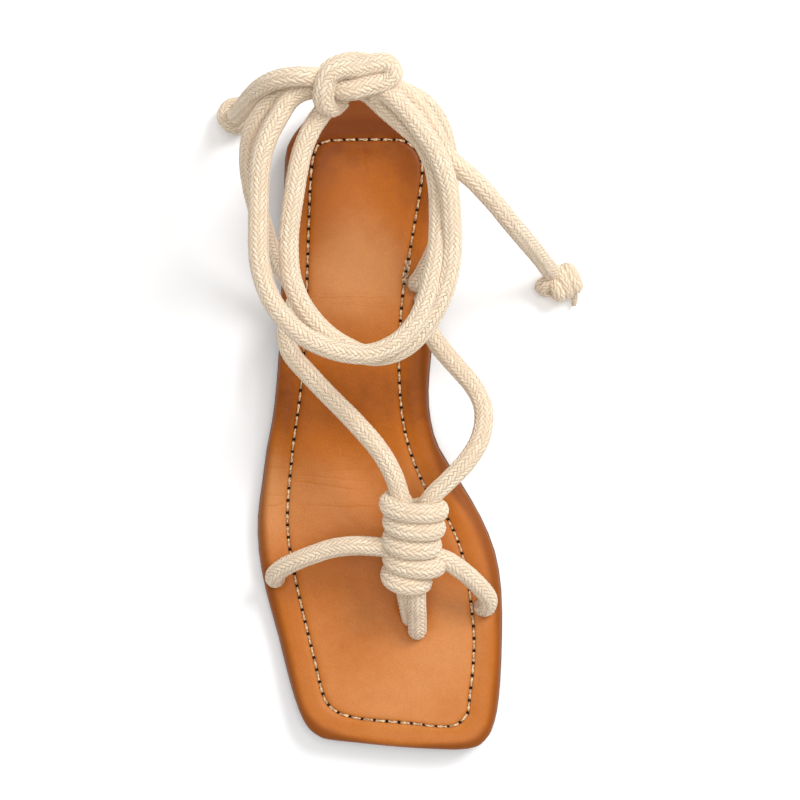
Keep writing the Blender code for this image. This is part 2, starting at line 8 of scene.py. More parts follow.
import bmesh
import bpy
import numpy as np
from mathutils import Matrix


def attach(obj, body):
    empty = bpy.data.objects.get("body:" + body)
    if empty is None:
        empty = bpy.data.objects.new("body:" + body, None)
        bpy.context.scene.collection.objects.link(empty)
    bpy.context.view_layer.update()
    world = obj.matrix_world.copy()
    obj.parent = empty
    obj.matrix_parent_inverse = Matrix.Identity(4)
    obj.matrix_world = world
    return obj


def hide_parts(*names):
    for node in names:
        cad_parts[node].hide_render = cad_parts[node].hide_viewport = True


MM = 0.001
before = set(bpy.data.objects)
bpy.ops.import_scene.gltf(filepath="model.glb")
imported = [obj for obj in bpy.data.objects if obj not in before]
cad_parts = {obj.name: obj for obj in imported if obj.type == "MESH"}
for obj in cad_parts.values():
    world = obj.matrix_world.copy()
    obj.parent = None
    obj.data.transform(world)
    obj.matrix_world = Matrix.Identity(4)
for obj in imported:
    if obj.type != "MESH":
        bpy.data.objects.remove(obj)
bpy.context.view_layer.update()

# Camera and studio

CAMERA_PLACE = (6.7, 62.6, 850.0)
CAMERA_LENS = 100.0
SENSOR_WIDTH = 36
FLOOR_COLOUR = (0.93, 0.93, 0.93, 1)
WORLD_STRENGTH = 0.62

# Square lamps, as (name, place, side, power), and the spot that they point at, in metres
LAMPS = (
    ("key_light", (0.62, 0.66, 0.95), 0.5, 11.0),
    ("top_light", (0.08, 0.15, 1.45), 0.7, 7.5),
)
LAMPS_AIM = (0.0, 0.06, 0.0)


def studio():
    """A plain pale floor, a soft key light from the upper right and a wide light overhead."""
    data = bpy.data.cameras.new("camera")
    data.sensor_width = SENSOR_WIDTH
    data.lens = CAMERA_LENS
    camera = bpy.data.objects.new("camera", data)
    camera.location = [value * MM for value in CAMERA_PLACE]
    bpy.context.scene.collection.objects.link(camera)
    bpy.context.scene.camera = camera

    bm = bmesh.new()
    bmesh.ops.create_grid(bm, x_segments=8, y_segments=8, size=4)
    mesh = bpy.data.meshes.new("floor")
    bm.to_mesh(mesh)
    bm.free()
    floor = bpy.data.objects.new("floor", mesh)
    paint = bpy.data.materials.new("floor_paint")
    paint.use_nodes = True
    shader = paint.node_tree.nodes["Principled BSDF"]
    shader.inputs["Base Color"].default_value = FLOOR_COLOUR
    shader.inputs["Roughness"].default_value = 0.9
    mesh.materials.append(paint)
    bpy.context.scene.collection.objects.link(floor)

    for name, place, size, energy in LAMPS:
        lamp = bpy.data.lights.new(name, "AREA")
        lamp.size = size
        lamp.energy = energy
        light = bpy.data.objects.new(name, lamp)
        light.location = place
        aim = np.array(LAMPS_AIM) - np.array(place)
        light.rotation_euler = (
            math.atan2(math.hypot(aim[0], aim[1]), -aim[2]),
            0,
            math.atan2(aim[1], aim[0]) - math.pi / 2,
        )
        bpy.context.scene.collection.objects.link(light)

    world = bpy.data.worlds.new("studio")
    world.use_nodes = True
    world.node_tree.nodes["Background"].inputs["Color"].default_value = (1.0, 1.0, 1.0, 1)
    world.node_tree.nodes["Background"].inputs["Strength"].default_value = WORLD_STRENGTH
    bpy.context.scene.world = world
    bpy.context.scene.view_settings.view_transform = "Standard"


# Materials


class Finish:
    """A material built from nodes, with short names for the nodes that the finishes share."""

    def __init__(self, name):
        self.material = bpy.data.materials.new(name)
        self.material.use_nodes = True
        self.tree = self.material.node_tree
        self.shader = self.tree.nodes["Principled BSDF"]

    def node(self, kind, *inputs, **settings):
        made = self.tree.nodes.new(kind)
        for name, value in settings.items():
            setattr(made, name, value)
        for socket, value in zip(made.inputs, inputs):
            self.join(value, socket)
        return made

    def join(self, value, socket):
        """Links another node's output to the socket, or sets a number or colour on it."""
        if isinstance(value, bpy.types.NodeSocket):
            self.tree.links.new(value, socket)
        elif value is not None:
            socket.default_value = value

    def math(self, operation, *values):
        return self.node("ShaderNodeMath", *values, operation=operation).outputs[0]

    def place(self):
        return self.node("ShaderNodeTexCoord").outputs["Object"]

    def uv(self, name):
        return self.node("ShaderNodeSeparateXYZ", self.node("ShaderNodeUVMap", uv_map=name).outputs[0]).outputs

    def split(self, vector):
        return self.node("ShaderNodeSeparateXYZ", vector).outputs

    def combine(self, *values):
        return self.node("ShaderNodeCombineXYZ", *values).outputs[0]

    def noise(self, vector, scale, detail=2.0, roughness=0.5):
        made = self.node("ShaderNodeTexNoise")
        for name, value in (("Vector", vector), ("Scale", scale), ("Detail", detail), ("Roughness", roughness)):
            self.join(value, made.inputs[name])
        return made.outputs["Fac"]

    def cells(self, vector, scale):
        made = self.node("ShaderNodeTexVoronoi")
        self.join(vector, made.inputs["Vector"])
        self.join(scale, made.inputs["Scale"])
        return made.outputs["Distance"]

    def random(self, *values):
        spot = self.combine(*values)
        return self.node("ShaderNodeTexWhiteNoise", spot, noise_dimensions="3D").outputs["Value"]

    def clamped(self, value):
        return self.node("ShaderNodeClamp", value).outputs[0]

    def ease(self, value, low, high, start=0.0, end=1.0):
        """Moves smoothly from start to end as the value goes from low to high."""
        return self.node(
            "ShaderNodeMapRange", value, low, high, start, end, interpolation_type="SMOOTHSTEP"
        ).outputs[0]

    def mix(self, share, first, second):
        made = self.node("ShaderNodeMix", data_type="RGBA")
        for socket, value in ((made.inputs[0], share), (made.inputs[6], first), (made.inputs[7], second)):
            self.join(value, socket)
        return made.outputs[2]

    def bump(self, height, distance, strength, normal=None):
        made = self.node("ShaderNodeBump")
        for name, value in (("Strength", strength), ("Distance", distance), ("Height", height), ("Normal", normal)):
            self.join(value, made.inputs[name])
        return made.outputs["Normal"]

    def finish(self, colour, normal, roughness, **constants):
        self.join(colour, self.shader.inputs["Base Color"])
        self.join(normal, self.shader.inputs["Normal"])
        self.join(roughness, self.shader.inputs["Roughness"])
        for name, value in constants.items():
            self.shader.inputs[name.replace("_", " ")].default_value = value
        return self.material


ROPE_LIGHT = (0.95, 0.80, 0.59, 1)
ROPE_DARK = (0.76, 0.58, 0.40, 1)
# painted shade for the grooves and dents between the stitches
ROPE_GROOVE_SHADE = (0.38, 0.245, 0.145, 1)
# The light leather tone is partly a painted highlight of the leather's sheen, and the dark one is mostly painted
# shade; with the middle tone they also give the leather's own mottle.
LEATHER_LIGHT = (0.585, 0.235, 0.072, 1)
LEATHER_MIDDLE = (0.42, 0.112, 0.006, 1)
LEATHER_DARK = (0.165, 0.034, 0.001, 1)
LEATHER_RIM = (0.20, 0.048, 0.004, 1)
# the colour of the grain's pores, also used as painted shade in the seam's groove
LEATHER_PORE_AND_GROOVE_SHADE = (0.16, 0.035, 0.004, 1)
# painted shade inside the stitch holes
SEAM_HOLE_SHADE = (0.016, 0.006, 0.003, 1)
SOLE_DARK = (0.085, 0.036, 0.015, 1)
SOLE_LIGHT = (0.18, 0.083, 0.036, 1)
THREAD_DARK = (0.34, 0.19, 0.09, 1)
THREAD_LIGHT = (0.80, 0.60, 0.38, 1)

# Patches of painted light and shade: painted highlights where the leather's sheen shows, and painted shade at the
# waist, round the heel and under the back knot, under the band and by the post: (x, y, half width, half length, how
# much)
LEATHER_PAINTED_LIGHT_AND_SHADE = [
    (-8, 112, 19, 18, 0.36),
    (-8, 62, 45, 20, -0.42),
    (-6, 176, 45, 30, -0.75),
    (-27, 138, 9, 26, -0.25),
    (14, 138, 9, 26, -0.28),
    (-42, 26, 7, 20, 0.48),
    (-18, 28, 18, 12, 0.14),
    (-18, -6, 16, 10, -0.08),
    (24, -28, 18, 18, 0.20),
    (0, -50, 26, 12, 0.12),
    (44, -40, 5, 25, -0.2),
    (11, -17, 8, 9, -0.3),
    (-36, 70, 8, 30, -0.15),
]

# The braid: columns of slanting stitches round the rope, each column leaning the other way

BRAID_COLUMNS = 10
BRAID_PITCH = 2.05  # from one stitch of a column to the next, mm
BRAID_LEAN = 1.0  # how far a stitch leans along the rope while it crosses its column, in pitches
BRAID_RELIEF = 0.085  # as a share of the rope's radius
BRAID_WEAVE = 0.16  # how far the end of a stitch reaches over the next column, in columns
BRAID_DROP = 0.8  # how far the ends of a stitch drop, as a share of its height
BRAID_UNEVEN = 0.28  # how much lower than the highest stitch the lowest one is
BRAID_LEVEL = 0.55  # the height of the braid that lies on the rope's radius
YARN_WANDER = (0.45, 0.6)  # how far apart the yarn's colour strays from the braid, in columns and in pitches
SCATTER = (12.99, 78.23, 43758.55)  # gives each stitch a number of its own, by its column and its place there


def braid_height(columns, pitches):
    """How high the braid stands, from 0 to 1, for numbers of columns round the rope and pitches along it."""
    columns = columns + BRAID_WEAVE * np.cos(math.tau * pitches) * np.cos(math.pi * columns)
    column = np.floor(columns)
    across = columns - column - 0.5
    odd = np.mod(column, 2)
    along = pitches + (2 * odd - 1) * across * BRAID_LEAN + odd * 0.5
    stitch = np.floor(along)
    along = 2 * (along - stitch - 0.5)
    own = np.sin(column * SCATTER[0] + stitch * SCATTER[1]) * SCATTER[2]
    own = own - np.floor(own)
    crown = np.sqrt(np.clip(1 - along**2, 0, 1))
    return crown * (1 - BRAID_DROP * np.abs(2 * across) ** 3) * (1 - BRAID_UNEVEN + BRAID_UNEVEN * own)


def cotton_rope():
    """Cream cotton yarn with fine fibres along each stitch, and painted shade between the stitches and in dents
    beside some of them.
    """
    rope = Finish("cotton_rope")
    place = rope.place()
    columns, pitches, _ = rope.uv("UVMap")
    wave = rope.math("COSINE", rope.math("MULTIPLY", pitches, math.tau))
    wave = rope.math("MULTIPLY", wave, rope.math("COSINE", rope.math("MULTIPLY", columns, math.pi)))
    columns = rope.math("MULTIPLY_ADD", wave, BRAID_WEAVE, columns)
    columns = rope.math("MULTIPLY_ADD", rope.math("SUBTRACT", rope.noise(place, 330.0), 0.5), YARN_WANDER[0], columns)
    pitches = rope.math("MULTIPLY_ADD", rope.math("SUBTRACT", rope.noise(place, 260.0), 0.5), YARN_WANDER[1], pitches)
    column = rope.math("FLOOR", columns)
    across = rope.math("SUBTRACT", rope.math("FRACT", columns), 0.5)
    odd = rope.math("FLOORED_MODULO", column, 2.0)
    side = rope.math("MULTIPLY_ADD", odd, 2.0, -1.0)
    lean = rope.math("MULTIPLY", rope.math("MULTIPLY", side, across), BRAID_LEAN)
    along = rope.math("ADD", rope.math("ADD", pitches, lean), rope.math("MULTIPLY", odd, 0.5))
    stitch = rope.math("FLOOR", along)
    off = rope.math("SUBTRACT", rope.math("MULTIPLY", rope.math("FRACT", along), 2.0), 1.0)
    crown = rope.math("SQRT", rope.math("SUBTRACT", 1.0, rope.math("MULTIPLY", off, off)))
    ends = rope.math("POWER", rope.math("MULTIPLY", rope.math("ABSOLUTE", across), 2.0), 3.0)
    height = rope.math("MULTIPLY", crown, rope.math("MULTIPLY_ADD", ends, -BRAID_DROP, 1.0))

    own = rope.random(column, stitch)
    in_stitch = [rope.math("MULTIPLY", value, times) for value, times in ((off, 3.0), (across, 1.4), (own, 37.0))]
    fibres = rope.noise(rope.combine(*in_stitch), 3.2, 3.0, 0.65)
    patches = rope.noise(place, 75.0, 3.0, 0.6)
    tone = rope.math("ADD", rope.math("MULTIPLY", own, 0.5), rope.math("MULTIPLY", patches, 0.7))
    tone = rope.math("ADD", tone, rope.math("MULTIPLY_ADD", fibres, 0.7, -0.6))
    colour = rope.mix(rope.clamped(tone), ROPE_DARK, ROPE_LIGHT)
    # painted shade in the grooves between the stitches, deeper in some patches
    groove_shade = rope.ease(height, 0.0, 0.6, 1.0, 0.0)
    depth = rope.math("MULTIPLY", groove_shade, rope.math("MULTIPLY_ADD", patches, 1.4, -0.15))
    colour = rope.mix(rope.clamped(depth), colour, ROPE_GROOVE_SHADE)
    # painted shade in dents beside some of the stitches
    dent_shade = rope.math("MULTIPLY", rope.ease(rope.math("ABSOLUTE", across), 0.3, 0.5), rope.ease(own, 0.45, 0.9))
    colour = rope.mix(rope.math("MULTIPLY", dent_shade, 0.7), colour, ROPE_GROOVE_SHADE)

    normal = rope.bump(rope.math("MULTIPLY_ADD", fibres, 0.5, height), 0.5 * MM, 0.9)
    normal = rope.bump(rope.noise(place, 3800.0, 2.0), 0.12 * MM, 0.6, normal)
    return rope.finish(colour, normal, 0.95, Sheen_Weight=0.3, Sheen_Roughness=0.7, Specular_IOR_Level=0.15)


def tan_leather():
    """Vegetable tan leather: mottled orange brown, fine grain, creases across the foot and holes along the seam, with
    patches of painted highlight and painted shade, and painted shade in the seam's groove and its holes.
    """
    leather = Finish("tan_leather")
    place = leather.place()
    x, y, _ = leather.split(place)
    seam, off_seam, _ = leather.uv("seam")

    cloud = leather.noise(place, 30.0, 3.0, 0.55)
    mottle = leather.noise(place, 210.0, 3.0, 0.6)
    tone = leather.math("MULTIPLY_ADD", cloud, 0.3, leather.math("MULTIPLY_ADD", mottle, 0.22, 0.44))
    # painted highlights and painted shade, one patch at a time
    for at_x, at_y, wide, tall, amount in LEATHER_PAINTED_LIGHT_AND_SHADE:
        off_x = leather.math("MULTIPLY_ADD", x, 1 / (wide * MM), -at_x / wide)
        off_y = leather.math("MULTIPLY_ADD", y, 1 / (tall * MM), -at_y / tall)
        off = leather.math("ADD", leather.math("MULTIPLY", off_x, off_x), leather.math("MULTIPLY", off_y, off_y))
        spread = leather.math("EXPONENT", leather.math("MULTIPLY", off, -1.0))
        tone = leather.math("MULTIPLY_ADD", spread, amount, tone)
    tone = leather.math("ADD", tone, leather.ease(off_seam, 0.5, 3.5, 0.0, -0.1))
    colour = leather.mix(leather.ease(tone, 0.0, 0.55), LEATHER_DARK, LEATHER_MIDDLE)
    colour = leather.mix(leather.ease(tone, 0.45, 1.1), colour, LEATHER_LIGHT)
    rim = leather.ease(off_seam, 6.6, 10.0, 0.0, 0.8)
    colour = leather.mix(rim, colour, LEATHER_RIM)

    grain = leather.math("ADD", leather.cells(place, 1500.0), leather.noise(place, 2600.0, 2.0))
    colour = leather.mix(leather.ease(grain, 0.3, 1.3, 0.16, 0.0), colour, LEATHER_PORE_AND_GROOVE_SHADE)

    wander = leather.math("SUBTRACT", leather.noise(place, 90.0, 2.0), 0.5)
    creased = 0.0
    fade = CREASE_FADE * MM
    for low_x, high_x, at_y, slope, wide, deep in CREASES:
        line = leather.math("MULTIPLY_ADD", x, slope, at_y * MM)
        line = leather.math("MULTIPLY_ADD", wander, CREASE_WANDER * MM, line)
        off = leather.math("DIVIDE", leather.math("SUBTRACT", y, line), wide * MM)
        dip = leather.math("DIVIDE", deep, leather.math("MULTIPLY_ADD", off, off, 1.0))
        start = leather.ease(x, low_x * MM - fade, low_x * MM + fade)
        end = leather.ease(x, high_x * MM - fade, high_x * MM + fade, 1.0, 0.0)
        creased = leather.math("MULTIPLY_ADD", dip, leather.math("MULTIPLY", start, end), creased)
    colour = leather.mix(leather.math("MULTIPLY", creased, 0.3), colour, LEATHER_MIDDLE)

    # painted shade in the groove that the seam lies in
    groove_shade = leather.ease(leather.math("ABSOLUTE", off_seam), 0.3, 1.2, 0.3, 0.0)
    colour = leather.mix(groove_shade, colour, LEATHER_PORE_AND_GROOVE_SHADE)
    # painted shade in the stitch holes, which the mesh has only as shallow pits
    along = leather.math("MULTIPLY", leather.math("SUBTRACT", leather.math("FRACT", seam), 0.5), SEAM_PITCH)
    across = leather.math("MULTIPLY", leather.math("POWER", off_seam, 2.0), 1.7)
    reach = leather.math("ADD", leather.math("POWER", along, 2.0), across)
    hole = leather.ease(leather.math("SQRT", reach), 0.66, 0.98, 1.0, 0.0)
    colour = leather.mix(hole, colour, SEAM_HOLE_SHADE)

    height = leather.math("MULTIPLY_ADD", creased, -1.0, leather.math("MULTIPLY", grain, 0.2))
    height = leather.math("MULTIPLY_ADD", mottle, 0.25, leather.math("MULTIPLY_ADD", cloud, 0.5, height))
    normal = leather.bump(height, 0.3 * MM, 0.8)
    gloss = leather.math("MULTIPLY_ADD", mottle, 0.16, leather.math("MULTIPLY_ADD", hole, 0.4, 0.32))
    return leather.finish(colour, normal, gloss, Specular_IOR_Level=0.16)


def brown_sole():
    """Dark brown sole: fine pores and scuffs."""
    sole = Finish("brown_sole")
    place = sole.place()
    pores = sole.noise(place, 1800.0, 2.0)
    scuffs = sole.noise(place, 60.0, 4.0, 0.65)
    colour = sole.mix(scuffs, SOLE_DARK, SOLE_LIGHT)
    normal = sole.bump(pores, 0.12 * MM, 0.5)
    return sole.finish(colour, normal, sole.math("MULTIPLY_ADD", scuffs, 0.25, 0.5), Specular_IOR_Level=0.25)


def seam_thread():
    """Beige waxed thread."""
    thread = Finish("seam_thread")
    tone = thread.noise(thread.place(), 1100.0, 2.0)
    colour = thread.mix(thread.ease(tone, 0.35, 0.65), THREAD_DARK, THREAD_LIGHT)
    return thread.finish(colour, thread.bump(tone, 0.08 * MM, 0.8), 0.6)


# Lines

CURVE_STEPS = 24  # straight steps that a curve is worked out in, from one row to the next


def distances(line):
    """The distance along the line at each of its points."""
    return np.concatenate([[0], np.cumsum(np.linalg.norm(np.diff(line, axis=0), axis=1))])


def smooth_line(rows, step, closed=False):
    """Even points, in metres, along a smooth curve through the rows."""
    given = np.array(rows, float) * MM
    count = len(given)
    spans = count if closed else count - 1
    share = np.linspace(0, 1, CURVE_STEPS, endpoint=False)[:, None]
    fine = []
    for span in range(spans):
        picked = [
            given[(span + offset) % count] if closed else given[min(max(span + offset, 0), count - 1)]
            for offset in (-1, 0, 1, 2)
        ]
        before, start, end, after = picked
        fine.append(
            0.5
            * (
                2 * start
                + (end - before) * share
                + (2 * before - 5 * start + 4 * end - after) * share**2
                + (3 * start - before - 3 * end + after) * share**3
            )
        )
    fine = np.vstack([*fine, given[:1] if closed else given[-1:]])
    travelled = distances(fine)
    pieces = max(round(travelled[-1] / (step * MM)), 2)
    at = np.linspace(0, travelled[-1], pieces + 1)
    return np.column_stack([np.interp(at, travelled, fine[:, axis]) for axis in range(fine.shape[1])])


def line_length(line):
    return float(np.linalg.norm(np.diff(line, axis=0), axis=1).sum())


def unit(vectors):
    return vectors / np.linalg.norm(vectors, axis=-1, keepdims=True)


def ring_frames(line):
    """Two directions square to the line at each of its points, turning as little as they can."""
    ahead = unit(np.gradient(line, axis=0))
    side = np.cross(ahead[0], [0.0, 0.0, 1.0])
    if np.linalg.norm(side) < 0.2:  # the line starts upright
        side = np.cross(ahead[0], [0.0, 1.0, 0.0])
    sides = []
    for direction in ahead:
        side = unit(side - side.dot(direction) * direction)
        sides.append(side)
    sides = np.array(sides)
    return sides, np.cross(ahead, sides)


# Making pieces

MERGE_DISTANCE = 1e-7


def new_piece(name, mesh, material, replaces):
    """An object of the mesh, in the one body and the CAD node that it stands in for."""
    mesh.materials.clear()
    mesh.materials.append(material)
    piece = bpy.data.objects.new(name, mesh)
    bpy.context.scene.collection.objects.link(piece)
    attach(piece, "root")
    if replaces:
        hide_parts(replaces)
    return piece


def rolled_grid(name, around, rows, shape, uv_values, uv_name="UVMap"):
    """A grid whose points are put in place by shape(column, row), closed round itself and at both ends."""
    bm = bmesh.new()
    bm.loops.layers.uv.new(uv_name)
    bmesh.ops.create_grid(bm, x_segments=around, y_segments=rows, size=0.5, calc_uvs=True)
    mesh = bpy.data.meshes.new(name)
    bm.to_mesh(mesh)
    bm.free()
    flat = np.empty(len(mesh.vertices) * 3)
    mesh.vertices.foreach_get("co", flat)
    flat = flat.reshape(-1, 3)
    flat = (flat - flat.min(0)) / np.maximum(np.ptp(flat, axis=0), 1e-9)
    column = np.rint(flat[:, 0] * around).astype(int)
    row = np.rint(flat[:, 1] * rows).astype(int)
    placed = shape(column, row)
    mesh.vertices.foreach_set("co", placed.astype(np.float32).ravel())
    corner = np.empty(len(mesh.loops), int)
    mesh.loops.foreach_get("vertex_index", corner)
    values = uv_values(column, row)[corner]
    mesh.uv_layers[uv_name].data.foreach_set("uv", values.astype(np.float32).ravel())
    bm = bmesh.new()
    bm.from_mesh(mesh)
    bmesh.ops.remove_doubles(bm, verts=bm.verts, dist=MERGE_DISTANCE)
    bmesh.ops.holes_fill(bm, edges=[edge for edge in bm.edges if edge.is_boundary], sides=0)
    bmesh.ops.recalc_face_normals(bm, faces=bm.faces)
    for face in bm.faces:
        face.smooth = True
    bm.to_mesh(mesh)
    bm.free()
    return mesh


ROPE_RADIUS = 3.5 * MM
ROPE_AROUND = 40  # faces round the rope
ROPE_STEP = 0.41  # from one ring of faces to the next, mm
ROPE_SWELL = 0.015  # how much thicker and thinner the rope gets along its length, as a share
ROPE_SWELL_LENGTH = 6.5 * MM


def braided_rope(
    name, line, material, radius=ROPE_RADIUS, start=0.0, replaces="rope_upper", turn=0.0, flat=None, stretch=1.0
):
    """A braided rope along the line.

    Its braid begins at start, in pitches, goes round the rope by turn from end to end, in radians, and is drawn
    longer by stretch. flat is a direction and the rope's width and thickness, as shares, where it is pressed flat.
    """
    rows = len(line) - 1
    sides, ups = ring_frames(line)
    wide, thin = 1.0, 1.0
    if flat:
        direction, wide, thin = flat
        ahead = unit(np.gradient(line, axis=0))
        sides = np.array(direction) - (ahead @ np.array(direction))[:, None] * ahead
        sides = unit(sides)
        ups = np.cross(ahead, sides)
    travelled = distances(line)
    pitches = travelled / (BRAID_PITCH * stretch * MM) + start
    radii = np.broadcast_to(radius, (rows + 1,)) * (1 + ROPE_SWELL * np.sin(travelled / ROPE_SWELL_LENGTH + start))
    twist = turn * travelled / travelled[-1]

    def shape(column, row):
        angle = math.tau * column / ROPE_AROUND + twist[row]
        columns = column % ROPE_AROUND * BRAID_COLUMNS / ROPE_AROUND
        height = braid_height(columns, pitches[row]) - BRAID_LEVEL
        reach = (radii[row] * (1 + BRAID_RELIEF * height))[:, None]
        across = wide * np.cos(angle)[:, None] * sides[row]
        return line[row] + reach * (across + thin * np.sin(angle)[:, None] * ups[row])

    def uv_values(column, row):
        return np.column_stack([column * BRAID_COLUMNS / ROPE_AROUND, pitches[row]])

    mesh = rolled_grid(name, ROPE_AROUND, rows, shape, uv_values)
    return new_piece(name, mesh, material, replaces)


# The free ends and their knots

FREE_END_LATERAL = [
    (-18.6, 173.2, 86.0), (-20.8, 173.4, 87.0), (-23.5, 173.4, 88.2), (-27.3, 173.5, 88.4), (-32.0, 173.4, 87.0),
    (-36.8, 172.7, 84.0), (-40.9, 171.5, 79.0), (-44.8, 169.9, 70.0), (-48.0, 168.5, 58.0), (-50.7, 168.0, 43.0),
    (-53.0, 168.4, 28.0), (-54.8, 169.8, 14.0), (-55.1, 170.2, 9.5),
]
FREE_END_MEDIAL = [
    (-1.0, 174.8, 83.5), (2.6, 172.8, 81.2), (6.6, 169.9, 79.6), (12.3, 165.0, 78.5), (18.0, 157.1, 75.5),
    (22.3, 149.2, 74.0), (26.5, 144.6, 73.2), (32.8, 139.5, 70.5), (39.7, 132.9, 64.0), (46.4, 126.0, 55.0),
    (52.5, 120.6, 42.0), (58.5, 115.6, 26.0), (62.6, 112.0, 14.0), (64.6, 110.3, 9.5),
]
FREE_END_RADIUS = 0.97 * ROPE_RADIUS
FREE_END_STRETCH = 1.25  # draws the braid longer, so that it shows from above
FREE_END_TURN = 1.2

# The stopper knots, wound round a middle, as (middle, axis, radius of a turn, rope's radius, turns, rise of a turn)
END_KNOT_LATERAL = ((-55.2, 170.4, 6.5), (0.25, -0.2, -1.0), 3.9, 3.1, 2.0, 3.6)
END_KNOT_MEDIAL = ((68.8, 107.4, 7.2), (1.0, 0.28, -0.1), 3.9, 3.0, 2.1, 3.3)
END_KNOT_MEDIAL_LOBE = [
    (66.5, 108.5, 8.0), (63.8, 107.4, 8.8), (61.5, 106.2, 7.6), (61.1, 105.4, 5.3), (63.2, 104.9, 3.7),
    (67.0, 105.8, 4.0),
]
END_KNOT_MEDIAL_LOBE_RADIUS = 3.0
END_KNOT_MEDIAL_TAIL = [(71.0, 105.4, 6.0), (72.8, 102.8, 4.0), (73.2, 100.6, 3.0), (73.0, 98.6, 2.4)]
END_KNOT_MEDIAL_TAIL_RADII = (2.2, 0.8)
TURN_POINTS = 26
LEAD_IN = 0.18  # how much longer than its turns a stopper knot is at each end, in turns
# How its turns narrow: the radius would be 0 this many turns past the end, grows to full over so many turns, and is
# never less than this share
NARROW_ENDS = (0.25, 0.3, 0.2)


def wound_line(middle, axis, turn_radius, turns, rise):
    """Turns wound round an axis through the middle, with both ends led in to the axis."""
    middle, axis = np.array(middle), unit(np.array(axis))
    side = unit(np.cross(axis, [0.2, 0.9, 0.3]))
    up = np.cross(axis, side)
    turned = np.linspace(-LEAD_IN, turns + LEAD_IN, round(turns * TURN_POINTS))
    past, full, least = NARROW_ENDS
    reach = turn_radius * np.clip(np.minimum(turned + past, turns + past - turned) / full, least, 1)
    angle = (math.tau * turned)[:, None]
    level = ((np.clip(turned, 0, turns) / turns - 0.5) * turns * rise)[:, None]
    line = middle + axis * level + reach[:, None] * (np.cos(angle) * side + np.sin(angle) * up)
    return smooth_line(line, ROPE_STEP)


def knot_ball(node, knot, material):
    middle, axis, turn_radius, radius, turns, rise = knot
    line = wound_line(middle, axis, turn_radius, turns, rise)
    return braided_rope(f"{node}_ball", line, material, radius * MM, replaces=node)


def free_end(node, rows, material):
    """One free end of the rope."""
    line = smooth_line(rows, ROPE_STEP)
    piece = braided_rope(
        f"{node}_rope",
        line,
        material,
        FREE_END_RADIUS,
        replaces=node,
        turn=FREE_END_TURN,
        stretch=FREE_END_STRETCH,
    )


def free_ends(rope, back_knot):
    """Both free ends with their stopper knots. The back knot's pieces, back_knot, are not used."""
    ball = knot_ball("end_knot_lateral", END_KNOT_LATERAL, rope)
    free_end("tie_end_lateral", FREE_END_LATERAL, rope)

    ball = knot_ball("end_knot_medial", END_KNOT_MEDIAL, rope)
    line = smooth_line(END_KNOT_MEDIAL_LOBE, ROPE_STEP)
    lobe = braided_rope(
        "end_knot_medial_lobe", line, rope, END_KNOT_MEDIAL_LOBE_RADIUS * MM, 0.4, "end_knot_medial"
    )
    line = smooth_line(END_KNOT_MEDIAL_TAIL, ROPE_STEP)
    thinning = np.linspace(*END_KNOT_MEDIAL_TAIL_RADII, len(line)) * MM
    tail = braided_rope("end_knot_medial_tail", line, rope, thinning, 0.7, "end_knot_medial")
    free_end("tie_end_medial", FREE_END_MEDIAL, rope)


# The strands of the upper

STRAND_MEDIAL = [
    (13.2, -24.4, 3.7), (13.2, -24.4, 9.3), (13.2, -23.6, 13.0), (13.1, -18.0, 18.2), (12.9, -9.8, 25.2),
    (13.6, 4.9, 30.7), (14.8, 19.8, 36.6), (18.0, 26.9, 39.8), (23.9, 32.9, 41.0), (30.6, 39.8, 41.0),
    (35.6, 47.7, 40.0), (37.3, 55.1, 38.0), (36.7, 61.5, 36.0), (33.1, 68.4, 33.0), (26.0, 76.8, 29.0),
    (19.5, 85.0, 26.1), (16.7, 92.6, 23.4), (15.8, 98.5, 20.5), (15.3, 100.5, 16.0), (15.3, 100.5, 10.0),
]
STRAND_LATERAL = [
    (10.8, -19.6, 3.7), (10.8, -19.6, 9.3), (10.6, -18.6, 12.0), (9.9, -15.0, 15.5), (8.7, -8.6, 21.6),
    (7.2, 4.9, 29.6), (8.1, 19.8, 36.2), (6.2, 29.4, 39.8), (3.3, 37.3, 42.0), (-1.9, 45.7, 43.0),
    (-10.6, 55.6, 43.0), (-18.5, 63.5, 41.0), (-26.6, 71.9, 37.0), (-33.1, 79.3, 31.4), (-35.6, 86.5, 27.0),
    (-34.6, 92.6, 22.9), (-32.6, 98.6, 19.9), (-32.6, 98.8, 16.0), (-32.6, 98.8, 10.0),
]
BAND = [
    (-40.4, -4.9, 3.7), (-40.4, -4.9, 9.3), (-40.5, -4.2, 13.6), (-39.6, -2.2, 18.4), (-35.9, 0.7, 22.4),
    (-30.3, 3.5, 26.0), (-24.2, 5.9, 28.0), (-18.0, 7.9, 29.5), (-10.3, 8.9, 31.0), (-0.4, 8.4, 31.5),
    (11.2, 6.2, 31.0), (22.2, 4.0, 30.0), (26.8, 1.5, 28.5), (31.6, -2.2, 26.0), (36.3, -6.9, 22.5),
    (39.6, -11.4, 18.0), (39.4, -15.0, 13.6), (38.2, -15.8, 9.3), (38.2, -15.8, 3.7),
]
HEEL_STRAND_LATERAL = [
    (-32.6, 104.7, 12.6), (-32.6, 104.7, 18.2), (-32.6, 104.7, 21.7), (-35.0, 107.7, 24.0), (-38.2, 112.6, 28.0),
    (-41.1, 119.1, 35.0), (-43.9, 128.7, 46.0), (-46.0, 137.6, 55.0), (-46.8, 147.5, 63.0),
    (-45.0, 156.6, 70.0), (-39.8, 164.5, 74.6), (-32.4, 169.4, 76.9), (-21.1, 171.7, 77.8), (-13.2, 172.4, 80.4),
]
